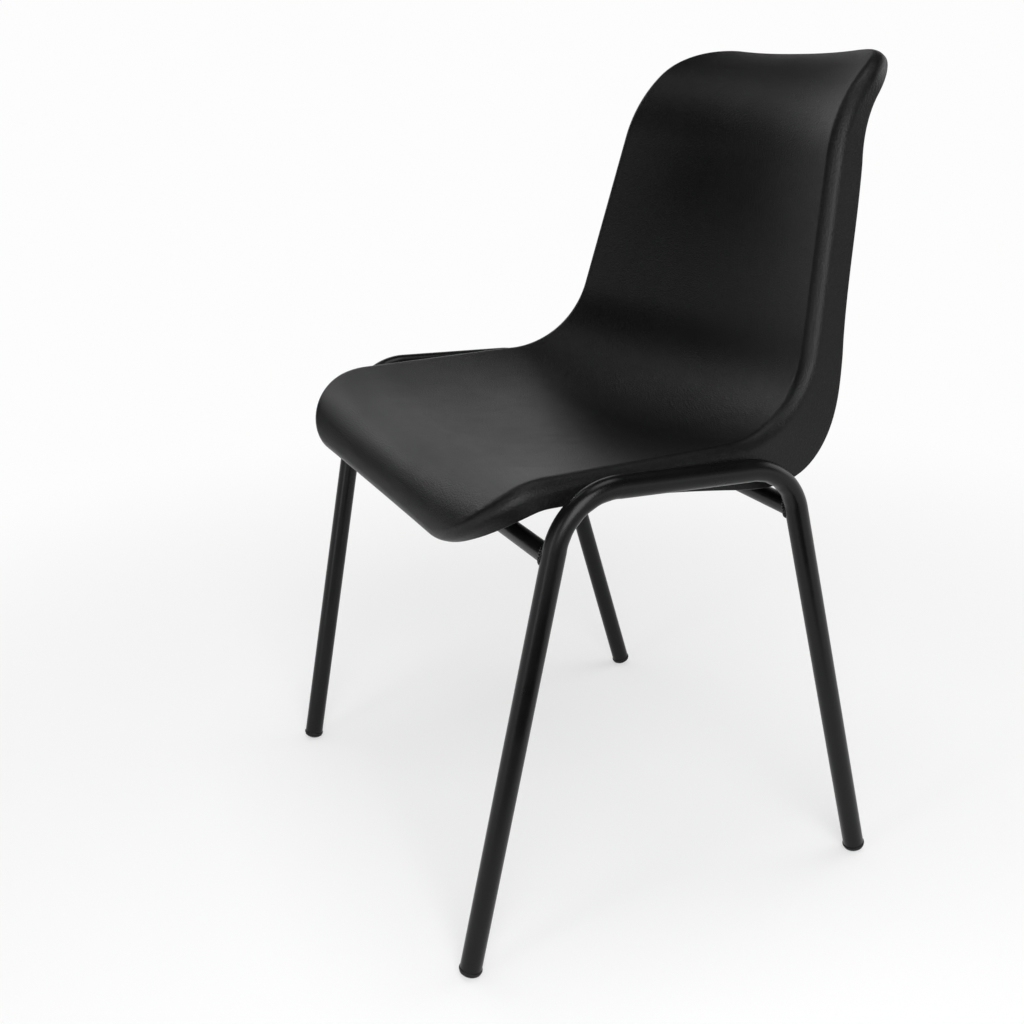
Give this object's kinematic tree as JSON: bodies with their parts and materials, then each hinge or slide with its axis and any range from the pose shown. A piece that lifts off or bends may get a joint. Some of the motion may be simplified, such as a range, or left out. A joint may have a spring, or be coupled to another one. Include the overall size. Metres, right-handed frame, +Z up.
{
  "type": "stacking choir chair",
  "caption": "Armless stacking choir chair: one-piece moulded bucket shell with rolled edges on two bent tube side frames with splayed legs and glides",
  "frame": {"origin": "on the floor, under the middle of the chair's overall box", "axes": "+Z up, the sitter faces -Y, +X is the sitter's left"},
  "size_m": [0.523, 0.502, 0.7603],
  "materials": {
    "shell_plastic": "fine grained, satin",
    "powder_coat": "semi-gloss powder coat",
    "glide_plastic": "satin",
    "screw_zinc": "bright zinc plate",
    "insert_brass": "turned"
  },
  "bodies": {
    "root": {"seat_shell": "shell_plastic", "left_side_frame": "powder_coat", "right_side_frame": "powder_coat", "front_cross_tube": "powder_coat", "rear_cross_tube": "powder_coat", "front_left_plate": "powder_coat", "front_right_plate": "powder_coat", "rear_left_plate": "powder_coat", "rear_right_plate": "powder_coat", "front_left_insert": "insert_brass", "front_right_insert": "insert_brass", "rear_left_insert": "insert_brass", "rear_right_insert": "insert_brass", "front_left_washer": "screw_zinc", "front_right_washer": "screw_zinc", "rear_left_washer": "screw_zinc", "rear_right_washer": "screw_zinc", "front_left_screw": "screw_zinc", "front_right_screw": "screw_zinc", "rear_left_screw": "screw_zinc", "rear_right_screw": "screw_zinc", "front_left_glide": "glide_plastic", "front_right_glide": "glide_plastic", "rear_left_glide": "glide_plastic", "rear_right_glide": "glide_plastic"}
  },
  "joints": []
}
